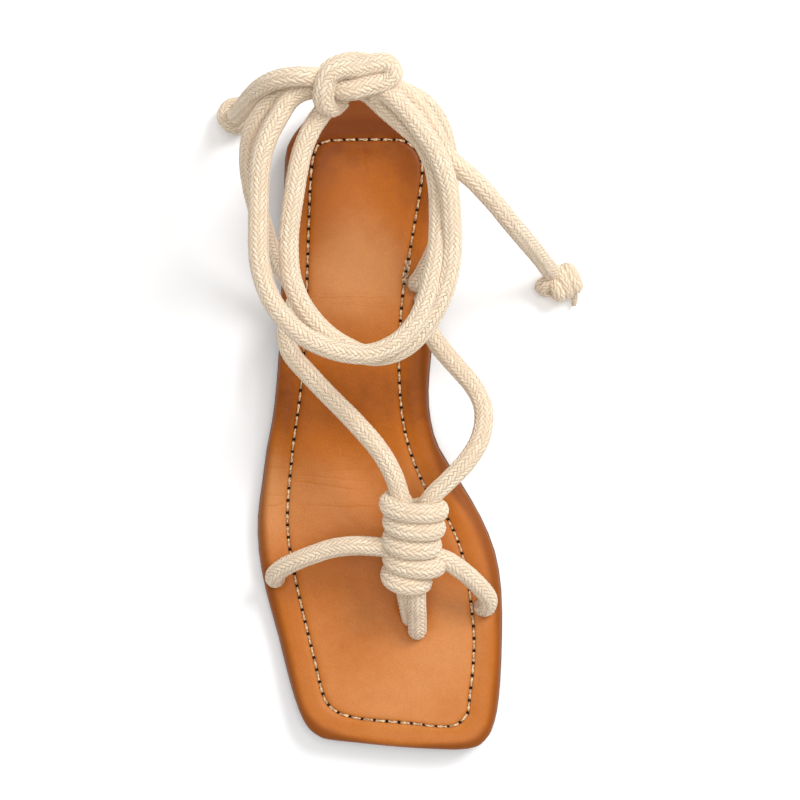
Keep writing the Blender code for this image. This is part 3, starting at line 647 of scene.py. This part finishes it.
HEEL_STRAND_MEDIAL = [
    (13.0, 106.3, 11.0), (13.0, 106.3, 17.0), (13.6, 107.0, 20.6), (15.5, 109.7, 24.4), (18.7, 115.8, 31.0),
    (22.0, 123.3, 39.0), (24.1, 131.9, 47.4), (24.4, 140.0, 53.4), (23.8, 149.4, 57.9), (21.5, 158.1, 61.9),
    (18.0, 164.3, 65.5), (12.7, 168.7, 68.5), (3.5, 171.9, 72.7), (-5.3, 172.4, 79.1),
]
WRAP_OVER = [
    (-9.7, 172.4, 83.6), (-16.7, 171.2, 82.3), (-26.5, 169.4, 82.3), (-31.5, 166.2, 82.3), (-34.9, 161.0, 82.3),
    (-38.2, 155.1, 82.3), (-40.7, 148.2, 82.3), (-41.9, 138.8, 82.0), (-42.2, 128.9, 82.0), (-42.3, 121.0, 82.0),
    (-42.1, 112.6, 82.0), (-40.7, 105.0, 82.3), (-38.1, 98.1, 82.3), (-34.1, 91.9, 82.5), (-28.0, 85.7, 83.0),
    (-20.4, 81.5, 82.8), (-12.5, 79.0, 82.9), (-4.0, 78.5, 82.9), (2.9, 80.8, 83.0), (8.5, 84.7, 82.9),
    (13.2, 90.9, 82.7), (16.5, 99.0, 82.3), (18.7, 108.9, 82.0), (19.9, 118.6, 81.6), (20.2, 127.9, 81.3),
    (19.7, 137.3, 81.3), (17.6, 146.0, 81.3), (13.6, 152.9, 81.3), (7.0, 158.8, 81.2), (1.2, 164.0, 80.9),
    (-4.2, 168.9, 80.4), (-9.7, 170.3, 80.0), (-14.6, 167.4, 80.2), (-17.6, 163.8, 80.4),
]
WRAP_UNDER = [
    (-12.3, 169.3, 82.2), (-17.3, 165.1, 81.3), (-23.2, 157.8, 80.4), (-27.0, 149.4, 80.1), (-28.9, 141.0, 80.1),
    (-30.5, 130.7, 80.1), (-31.7, 121.3, 79.7), (-31.9, 112.9, 79.7), (-31.1, 105.2, 79.3), (-28.7, 98.3, 78.2),
    (-25.2, 92.4, 77.1), (-19.5, 86.2, 77.2), (-12.7, 81.5, 77.1), (-5.3, 78.3, 76.9), (1.5, 78.3, 76.9),
    (8.1, 80.8, 77.7), (13.7, 85.7, 79.3), (18.6, 92.9, 80.8), (22.2, 101.0, 82.0), (24.1, 109.2, 82.7),
    (24.7, 117.6, 83.4), (24.4, 125.5, 85.1), (23.7, 133.6, 86.8), (21.7, 141.0, 88.2), (18.5, 148.4, 88.5),
    (14.1, 154.9, 88.5), (9.0, 161.5, 88.2), (3.4, 167.0, 87.5), (-2.6, 171.5, 85.8), (-7.9, 172.4, 83.5),
]

# The coil's wraps: where the middle of the rope is at its left and at its right, as (x, y, x, y)
COIL_WRAPS = [
    (2.2, 24.9, 21.3, 22.4),
    (3.4, 18.1, 20.3, 15.8),
    (3.2, 11.2, 18.9, 8.9),
    (3.4, 4.5, 20.7, 1.5),
    (2.7, -1.9, 15.5, -4.7),
]
COIL_START = [(12.5, 17.5, 35.0), (10.0, 21.5, 32.5)]
COIL_END = [(9.5, -3.0, 20.5), (6.5, 1.5, 24.0)]
COIL_HEIGHT = (28.7, 0.385)  # of its axis: at y = 0, and how it climbs with y
COIL_DEPTH = 6.3  # from the axis to the middle of the rope, up and down
COIL_LEFT_OFF = (0.1, 0.15)  # how much of the first wrap and of the last one isn't there
COIL_PRESSED = (1.09, 0.93)  # the rope's width and thickness there, as shares


def coil_line():
    """Five wraps round the post: under it, up its left, over it and down its right."""
    quarters, middles, halves = [], [], []
    for number, (left_x, left_y, right_x, right_y) in enumerate(COIL_WRAPS):
        for share, y in ((0.25, left_y), (0.75, right_y)):
            quarters.append(number + share)
            middles.append(((left_x + right_x) / 2, y))
            halves.append((right_x - left_x) / 2)
    start, end = COIL_LEFT_OFF
    turned = np.linspace(start, len(COIL_WRAPS) - end, 20 * len(COIL_WRAPS))
    middles = np.array(middles)
    x = np.interp(turned, quarters, middles[:, 0])
    y = np.interp(turned, quarters, middles[:, 1])
    half = np.interp(turned, quarters, halves)
    angle = -math.pi / 2 - math.tau * turned
    base, climb = COIL_HEIGHT
    lean = math.atan(climb)
    rise = COIL_DEPTH * np.sin(angle)
    line = np.column_stack(
        [x + half * np.cos(angle), y - rise * math.sin(lean), base + climb * y + rise * math.cos(lean)]
    )
    return smooth_line([*COIL_START, *line, *COIL_END], ROPE_STEP)


# The back knot

KNOT_BAND = [
    (-14.0, 166.5, 80.5), (-16.8, 163.9, 83.0), (-19.2, 165.0, 87.0), (-19.3, 168.8, 90.0), (-17.6, 173.2, 91.5),
    (-13.7, 175.4, 92.0), (-7.7, 175.9, 92.0), (-2.1, 177.2, 91.8), (2.0, 177.4, 91.2), (4.0, 174.6, 90.2),
    (1.6, 171.9, 89.6), (-4.0, 170.2, 90.2), (-9.5, 168.8, 90.0), (-13.6, 169.2, 87.5), (-16.2, 170.5, 83.0),
    (-14.0, 172.5, 80.0),
]
KNOT_BACK = [
    (-16.0, 167.5, 82.0), (-19.0, 171.5, 82.5), (-17.5, 176.0, 83.5), (-12.0, 178.6, 84.0), (-5.5, 178.8, 83.0),
    (0.5, 176.8, 82.0), (3.4, 172.8, 82.5), (1.5, 169.0, 83.5), (-4.0, 168.5, 84.0),
]
KNOT_INSIDE = [
    (-16.5, 168.5, 86.0), (-13.0, 172.6, 87.3), (-8.0, 174.6, 87.6), (-2.5, 174.6, 87.2), (2.0, 171.5, 86.0),
]
BACK_KNOT = {"back_knot_over": KNOT_BAND, "back_knot_behind": KNOT_BACK, "back_knot_inside": KNOT_INSIDE}
BACK_KNOT_RADIUS = 1.07 * ROPE_RADIUS

STRAND_TURN = 0.9
STRAND_START = 0.37  # how far the braid of each strand is ahead of the one before, in pitches

STRANDS = {
    "post_and_instep_medial": STRAND_MEDIAL,
    "post_and_instep_lateral": STRAND_LATERAL,
    "forefoot_band": BAND,
    "heel_strand_lateral": HEEL_STRAND_LATERAL,
    "heel_strand_medial": HEEL_STRAND_MEDIAL,
    "ankle_wrap_outer": WRAP_OVER,
    "ankle_wrap_inner": WRAP_UNDER,
}


def rope_upper(rope):
    """Every strand and wrap of the upper, and the knot behind the ankle, whose pieces it gives back."""
    for number, (name, rows) in enumerate(STRANDS.items()):
        braided_rope(name, smooth_line(rows, ROPE_STEP), rope, start=STRAND_START * number, turn=STRAND_TURN)
    lean = math.atan(COIL_HEIGHT[1])
    axis = (0.0, math.cos(lean), math.sin(lean))
    braided_rope("post_coil", coil_line(), rope, start=0.6, flat=(axis, *COIL_PRESSED))
    return [
        braided_rope(name, smooth_line(rows, ROPE_STEP), rope, BACK_KNOT_RADIUS, replaces="back_knot")
        for name, rows in BACK_KNOT.items()
    ]


# The sole and the footbed

FOOT_LENGTH = 247.0
BALL = 0.72  # where y = 0 is, as a share of the foot's length from the heel
HEEL_HEIGHT = 9.0
HEEL_SLOPE = (0.27, 0.39)  # where the heel's level ends, and how much of the length its slope takes
TOE_START = 0.82
TOE_SPRING = 5.0
HEEL_CUP = 1.6  # depth of the dish under the heel
HEEL_CUP_SLOPE = (0.18, 0.22)
FOOTBED_BOTTOM = 3.3  # above the sole's underside
FOOTBED_THICKNESS = 6.0

OUTLINE = [
    (-10.1, 177.8), (-20.7, 174.4), (-29.3, 167.2), (-35.4, 158.1), (-36.4, 147.5), (-37.0, 126.0),
    (-37.7, 103.2), (-38.7, 80.3), (-40.0, 65.9), (-41.4, 54.8), (-43.5, 44.5), (-45.4, 30.6), (-47.0, 18.3),
    (-46.6, 4.9), (-44.0, -9.9), (-39.2, -27.2), (-34.8, -44.5), (-31.2, -55.6), (-28.0, -61.3), (-23.9, -64.5),
    (-19.8, -65.7), (-8.8, -66.9), (7.0, -68.4), (22.0, -69.2), (30.4, -69.2), (36.3, -67.9), (40.0, -64.5),
    (41.5, -61.3), (43.1, -55.6), (44.4, -44.5), (45.1, -27.2), (44.9, -9.9), (42.4, 4.9), (37.0, 18.3),
    (29.7, 30.6), (21.1, 44.5), (18.0, 54.8), (17.1, 65.9), (18.1, 80.3), (20.4, 103.2), (22.7, 126.0),
    (24.3, 147.5), (22.7, 158.1), (16.7, 167.2), (8.4, 174.4), (-2.2, 177.8),
]
SEAM = [
    (2.1, 160.1), (-14.0, 160.0), (-21.5, 159.2), (-25.0, 156.0), (-26.9, 143.3), (-28.4, 101.5), (-30.5, 68.4),
    (-34.0, 42.5), (-35.9, 15.3), (-32.4, -7.4), (-26.1, -34.1), (-21.9, -49.9), (-17.0, -55.1), (-12.3, -56.8),
    (-6.9, -57.8), (9.0, -59.2), (24.9, -60.5), (31.2, -57.1), (32.8, -51.4), (34.7, -27.4), (31.2, 0.2),
    (24.9, 17.3), (15.4, 31.1), (8.5, 50.9), (6.3, 75.1), (7.6, 100.8), (11.3, 123.5), (14.9, 146.2),
    (13.6, 155.0), (8.5, 159.3),
]
SEAM_PITCH = 4.65
SEAM_PIT = (0.5, 0.6, 1.5)  # depth and radius of the pit at a stitch hole, and the weight of the way across the seam
SPINE = [
    (-6.8, 150), (-8.5, 103), (-11.0, 66), (-11.8, 50), (-9.5, 36), (-5.0, 18), (-1.0, 5), (0.5, -10), (3.0, -27),
    (5.2, -46),
]
SPINE_EVEN = 0.12  # share by which the outline's points are spread evenly along the spine
FOOTBED_AROUND = 780  # faces round the footbed

# Creases across the leather, as (from x, to x, y at x = 0, slope, width, depth)
CREASES = [
    (-26.0, 3.0, 100.8, -0.01, 0.18, 0.35),
    (-18.0, 4.0, 98.8, 0.02, 0.18, 0.25),
    (-25.0, -4.0, 102.6, 0.03, 0.2, 0.2),
    (-12.0, 6.0, 97.2, -0.03, 0.2, 0.2),
    (-47.0, -38.5, 41.5, 0.12, 0.3, 0.5),
    (-47.0, -38.0, 33.0, -0.10, 0.3, 0.35),
    (-46.0, -38.0, 28.6, 0.15, 0.35, 0.6),
    (-46.5, -37.0, 24.5, -0.05, 0.3, 0.4),
    (-33.0, -6.0, 31.0, -0.10, 0.5, 0.3),
    (-32.0, -10.0, 26.5, -0.16, 0.45, 0.5),
    (-28.0, -2.0, 21.5, -0.05, 0.4, 0.4),
    (-24.0, -6.0, 37.0, 0.06, 0.6, 0.25),
]
CREASE_WANDER = 3.0
CREASE_FADE = 4.0  # at both ends

# Holes that the rope goes into, as (x, y) of the first and of the last strand, which is the same one in a round hole
HOLES = [
    ((13.2, -24.4), (10.8, -19.6)),
    ((-40.4, -4.9), (-40.4, -4.9)),
    ((38.2, -15.8), (38.2, -15.8)),
    ((-32.6, 104.7), (-32.6, 98.8)),
    ((13.0, 106.3), (15.3, 100.5)),
]
HOLE_RADIUS = 3.55
HOLE_DIP = (0.9, 1.5)  # how far the leather is pressed down at a hole's edge, and over what length that fades
HOLE_FACES = 32
CUTTER_LENGTH = 60
SHARP_EDGE = 55  # degrees from which an edge of the footbed isn't shaded smooth


def ease(value):
    """Goes smoothly from 0 to 1 as the value does."""
    value = np.clip(value, 0, 1)
    return value * value * (3 - 2 * value)


def along_foot(y):
    """The share of the foot's length from the heel."""
    return BALL - y / (FOOT_LENGTH * MM)


def sole_height(y):
    """How high the sole's underside is: heel, arch, flat ball and toe spring. Metres."""
    along = along_foot(y)
    start, length = HEEL_SLOPE
    toe = np.maximum(along - TOE_START, 0) / (1 - TOE_START)
    return HEEL_HEIGHT * MM * (1 - ease((along - start) / length)) + TOE_SPRING * MM * toe**2


def heel_dish(y, share):
    """How far the footbed is dished under the heel, at a share of the way from the seam to the spine. Metres."""
    start, length = HEEL_CUP_SLOPE
    return HEEL_CUP * MM * (1 - ease((along_foot(y) - start) / length)) * ease(share)


def spine_for(outline):
    """The point of the foot's middle line that each point of the outline looks to, the same for both sides."""
    around = len(outline)
    half = around // 2
    first = np.arange(half + 1)
    across = (outline[first, 1] + outline[(around - first) % around, 1]) / 2
    spine = np.array(SPINE, float) * MM
    high, low = spine[0, 1], spine[-1, 1]
    even = high + (low - high) * first / half
    y = (1 - SPINE_EVEN) * np.clip(across, low, high) + SPINE_EVEN * even
    y = np.concatenate([y, y[half - 1 : 0 : -1]])
    return np.column_stack([np.interp(y, spine[::-1, 1], spine[::-1, 0]), y])


def from_heel(outline):
    """The same closed outline, starting at the middle of the heel."""
    first = int(outline[:, 1].argmax())
    return np.roll(outline, -first, axis=0)


def meet_seam(starts, ends, seam):
    """Where each line from start to end meets the seam.

    Gives the shares of the lines, the distances along the seam, and the seam's length.
    """
    first, second = seam[:-1], seam[1:]
    travelled = distances(seam)
    shares, along = [], []
    for start, end in zip(starts, ends):
        way, piece, gap = end - start, second - first, first - start
        cross = way[0] * piece[:, 1] - way[1] * piece[:, 0]
        cross = np.where(np.abs(cross) < 1e-15, 1e-15, cross)
        share = (gap[:, 0] * piece[:, 1] - gap[:, 1] * piece[:, 0]) / cross
        part = (gap[:, 0] * way[1] - gap[:, 1] * way[0]) / cross
        hit = np.where((part >= 0) & (part <= 1) & (share > 0) & (share < 1), share, 9.0)
        best = int(hit.argmin())
        shares.append(hit[best])
        along.append(travelled[best] + part[best] * (travelled[best + 1] - travelled[best]))
    return np.array(shares), np.array(along), travelled[-1]


def cut_holes(piece):
    """Cuts the rope's holes through the footbed."""
    cutters = []
    for spot in sorted({spot for pair in HOLES for spot in pair}):
        bm = bmesh.new()
        bmesh.ops.create_cone(
            bm,
            cap_ends=True,
            segments=HOLE_FACES,
            radius1=HOLE_RADIUS * MM,
            radius2=HOLE_RADIUS * MM,
            depth=CUTTER_LENGTH * MM,
        )
        bmesh.ops.translate(bm, verts=bm.verts, vec=(spot[0] * MM, spot[1] * MM, 0))
        mesh = bpy.data.meshes.new("hole")
        bm.to_mesh(mesh)
        bm.free()
        cutter = bpy.data.objects.new("hole", mesh)
        bpy.context.scene.collection.objects.link(cutter)
        cutters.append(cutter)
        change = piece.modifiers.new("hole", "BOOLEAN")
        change.operation = "DIFFERENCE"
        change.solver = "EXACT"
        change.object = cutter
    bpy.context.view_layer.update()
    seen = piece.evaluated_get(bpy.context.evaluated_depsgraph_get())
    mesh = bpy.data.meshes.new_from_object(seen)
    mesh.set_sharp_from_angle(angle=math.radians(SHARP_EDGE))
    piece.modifiers.clear()
    piece.data = mesh
    for cutter in cutters:
        bpy.data.objects.remove(cutter)


def press_round_holes(points):
    """How far the leather is pressed down round the rope's holes."""
    depth, fade = HOLE_DIP
    pressed = np.zeros(len(points))
    for first, last in HOLES:
        first, last = np.array(first) * MM, np.array(last) * MM
        way = last - first
        share = np.clip(((points - first) @ way) / max(way @ way, 1e-12), 0, 1)[:, None]
        off = np.linalg.norm(points - first - share * way, axis=1) - HOLE_RADIUS * MM
        pressed += depth * MM * np.exp(-np.clip(off, 0, None) / (fade * MM))
    return pressed


UNDERSIDE, MARGIN, NEAR_SEAM, INSIDE = range(4)
ROLL = 3.4  # height of the rolled edge
ROLL_TOP = 0.35
ROLL_WIDTH = 0.4  # as a share of the margin
ROLL_TURNS = np.linspace(0, math.pi / 2, 9)

# Rows of the footbed from the middle of its underside, round its edge, to the middle of its top. The second number
# is a share of the way across the part, or near the seam a distance from it. The third is a height, and is 0 inside
# the seam, where SEAM_DIP gives it.
FOOTBED_ROWS = [
    (UNDERSIDE, 1.0, 0.0), (UNDERSIDE, 0.5, 0.0), (UNDERSIDE, 0.15, 0.0), (UNDERSIDE, 0.03, 0.0),
    (UNDERSIDE, 0.008, 0.35), (UNDERSIDE, 0.0, 1.2), (UNDERSIDE, 0.0, 2.0),
    *((MARGIN, ROLL_WIDTH * (1 - math.cos(turn)), ROLL_TOP - ROLL * (1 - math.sin(turn))) for turn in ROLL_TURNS),
    (MARGIN, 0.50, 0.42), (MARGIN, 0.60, 0.42), (MARGIN, 0.70, 0.32), (MARGIN, 0.80, 0.12), (MARGIN, 0.88, -0.14),
    (MARGIN, 0.94, -0.44), (MARGIN, 0.98, -0.72), (MARGIN, 1.0, -0.80),
    *((NEAR_SEAM, off, 0.0) for off in (0.25, 0.6, 1.1, 1.8, 2.8, 4.2, 6.0)),
    *((INSIDE, share, 0.0) for share in (0.36, 0.46, 0.56, 0.66, 0.76, 0.86, 0.94, 1.0)),
]

# The leather's height on the inner side of the seam, as (distance, height)
SEAM_DIP = (
    (0.0, -0.80), (0.25, -0.70), (0.6, -0.40), (1.1, -0.12), (1.8, 0.05), (2.8, 0.12), (4.2, 0.08), (6.0, 0.0),
)
FULL_WIDTH = 18  # distance from seam to spine from which the rows near the seam aren't drawn closer to it
UNDERSIDE_OFF_SEAM = 20  # puts the underside beyond the seam's colours


def footbed(leather):
    """The rolled leather footbed. Gives the line of its seam and how many stitches it has."""
    rough = smooth_line(OUTLINE, 1, True)
    outline = from_heel(smooth_line(OUTLINE, line_length(rough) / MM / FOOTBED_AROUND, True)[:-1])
    around = len(outline)
    spine = spine_for(outline)
    seam = smooth_line(SEAM, 0.8, True)
    shares, along_seam, seam_length = meet_seam(outline, spine, seam)
    stitches = round(seam_length / (SEAM_PITCH * MM))
    on_seam = outline + (spine - outline) * shares[:, None]
    margin = np.linalg.norm(on_seam - outline, axis=1)
    inside = np.linalg.norm(spine - on_seam, axis=1)
    stitch_at = unwrap(along_seam, seam_length) / seam_length * stitches

    def off_seam(column, row):
        """Distances outside the seam, in metres; negative inside it."""
        part, share, _ = FOOTBED_ROWS[row]
        if part == UNDERSIDE:
            return np.full(len(column), UNDERSIDE_OFF_SEAM * MM)
        if part == MARGIN:
            return margin[column] * (1 - share)
        if part == NEAR_SEAM:
            return -share * MM * np.minimum(inside[column] / (FULL_WIDTH * MM), 1)
        return -inside[column] * share

    def place(column, row):
        pit_depth, pit_radius, across = SEAM_PIT
        result = np.zeros((len(column), 3))
        for number, (part, share, height) in enumerate(FOOTBED_ROWS):
            pick = row == number
            at = column[pick] % around
            start, stitch, middle = outline[at], on_seam[at], spine[at]
            off = off_seam(at, number)
            if part == UNDERSIDE:
                spot = start + (middle - start) * share
            elif part == MARGIN:
                spot = start + (stitch - start) * share
            else:
                spot = stitch + (middle - stitch) * (-off / inside[at])[:, None]
            level = sole_height(spot[:, 1]) + (FOOTBED_BOTTOM + height) * MM
            if part != UNDERSIDE:
                from_hole = (stitch_at[at] % 1 - 0.5) * SEAM_PITCH * MM
                pit = np.exp(-(from_hole**2 + across * off**2) / (pit_radius * MM) ** 2)
                dish = heel_dish(spot[:, 1], np.maximum(-off, 0) / inside[at])
                level += FOOTBED_THICKNESS * MM - dish - press_round_holes(spot) - pit_depth * MM * pit
            if part in (NEAR_SEAM, INSIDE):
                level += np.interp(-off / MM, *zip(*SEAM_DIP)) * MM
            result[pick, :2] = spot
            result[pick, 2] = level
        return result

    def seam_uv(column, row):
        off = np.zeros(len(column))
        for number in range(len(FOOTBED_ROWS)):
            pick = row == number
            off[pick] = off_seam(column[pick] % around, number) / MM
        return np.column_stack([stitch_at[column], off])

    mesh = rolled_grid("footbed_leather", around, len(FOOTBED_ROWS) - 1, place, seam_uv, "seam")
    piece = new_piece("footbed_leather", mesh, leather, "footbed")
    cut_holes(piece)
    return seam, stitches


def unwrap(values, full):
    """Distances round a loop, made to run on past its start, with one more at the end."""
    steps = np.diff(np.concatenate([values, values[:1]]))
    steps = (steps + full / 2) % full - full / 2
    return np.concatenate([values[:1], values[0] + np.cumsum(steps)])


# A stitch from one hole to the next: shares of the way, the thread's height there, and how far the plies are apart
STITCH_WAY = (0.12, 0.155, 0.22, 0.4, 0.6, 0.78, 0.845, 0.88)
STITCH_LIFT = (-1.0, -0.3, 0.02, 0.14, 0.14, 0.02, -0.3, -1.0)
STITCH_SPREAD = (0.1, 0.2, 0.23, 0.24, 0.24, 0.23, 0.2, 0.1)
STITCH_LEVEL = 0.15  # added to all heights of a stitch
SEAM_DEPTH = 0.75  # of the dip that the stitches lie in
PLY_RADIUS = 0.27
PLY_TWIST = 0.9  # turns of the two plies round each other in a stitch

BACK_TACK = (8.7, 110.9)  # the middle of the doubled stitches where the seam begins and ends
BACK_TACK_APART = 0.75  # how far they are beside the seam
BACK_TACK_LIFT = 0.35  # how much higher they are, for each millimetre beside the seam


def stitching(seam, stitches, thread):
    """Two twisted plies for each stitch, from one hole to the next, doubled where the seam begins."""
    travelled = distances(seam)
    data = bpy.data.curves.new("seam_stitches", "CURVE")
    data.dimensions = "3D"
    data.bevel_depth = PLY_RADIUS * MM
    data.bevel_resolution = 0
    data.use_fill_caps = True
    nearest = int(np.linalg.norm(seam - np.array(BACK_TACK) * MM, axis=1).argmin())
    tack = travelled[nearest] / travelled[-1] * stitches
    # Where each stitch starts and how long it is, in stitches, and how far it is beside the seam
    rows = [(number + 0.5, 1.0, 0.0) for number in range(stitches)]
    beside = (-BACK_TACK_APART, BACK_TACK_APART)
    rows += [(tack + 0.5 * number - 1.0, 0.5, sideways) for number in range(4) for sideways in beside]
    way, lift, spread = np.array(STITCH_WAY), np.array(STITCH_LIFT) * MM, np.array(STITCH_SPREAD) * MM
    level = FOOTBED_BOTTOM + FOOTBED_THICKNESS - SEAM_DEPTH
    for start, length, sideways in rows:
        at = (start + length * way) / stitches * travelled[-1] % travelled[-1]
        spot = np.column_stack([np.interp(at, travelled, seam[:, axis]) for axis in range(2)])
        ahead = unit(np.gradient(spot, axis=0))
        side = np.column_stack([-ahead[:, 1], ahead[:, 0]])
        spot = spot + side * sideways * MM
        ground = sole_height(spot[:, 1]) + (level + BACK_TACK_LIFT * abs(sideways)) * MM
        for ply in range(2):
            turn = math.tau * PLY_TWIST * way + math.pi * ply + start
            line = data.splines.new("POLY")
            line.points.add(len(way) - 1)
            moved = spot + side * (spread * np.cos(turn))[:, None]
            height = ground + lift + spread * np.sin(turn) + STITCH_LEVEL * MM
            for target, place, z in zip(line.points, moved, height):
                target.co = (place[0], place[1], z, 1)
    curve = bpy.data.objects.new("seam_stitches", data)
    bpy.context.scene.collection.objects.link(curve)
    bpy.context.view_layer.update()
    mesh = bpy.data.meshes.new_from_object(curve.evaluated_get(bpy.context.evaluated_depsgraph_get()))
    bpy.data.objects.remove(curve)
    mesh.name = "seam_stitches"
    for polygon in mesh.polygons:
        polygon.use_smooth = True
    new_piece("seam_thread", mesh, thread, None)


def sole_and_heel(sole):
    """The outsole and the heel lift are the frame's own meshes, with the sole's material."""
    for name in ("outsole", "heel_lift"):
        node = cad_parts[name]
        node.data.materials.clear()
        node.data.materials.append(sole)


studio()
rope = cotton_rope()
free_ends(rope, rope_upper(rope))
seam, stitches = footbed(tan_leather())
stitching(seam, stitches, seam_thread())
sole_and_heel(brown_sole())
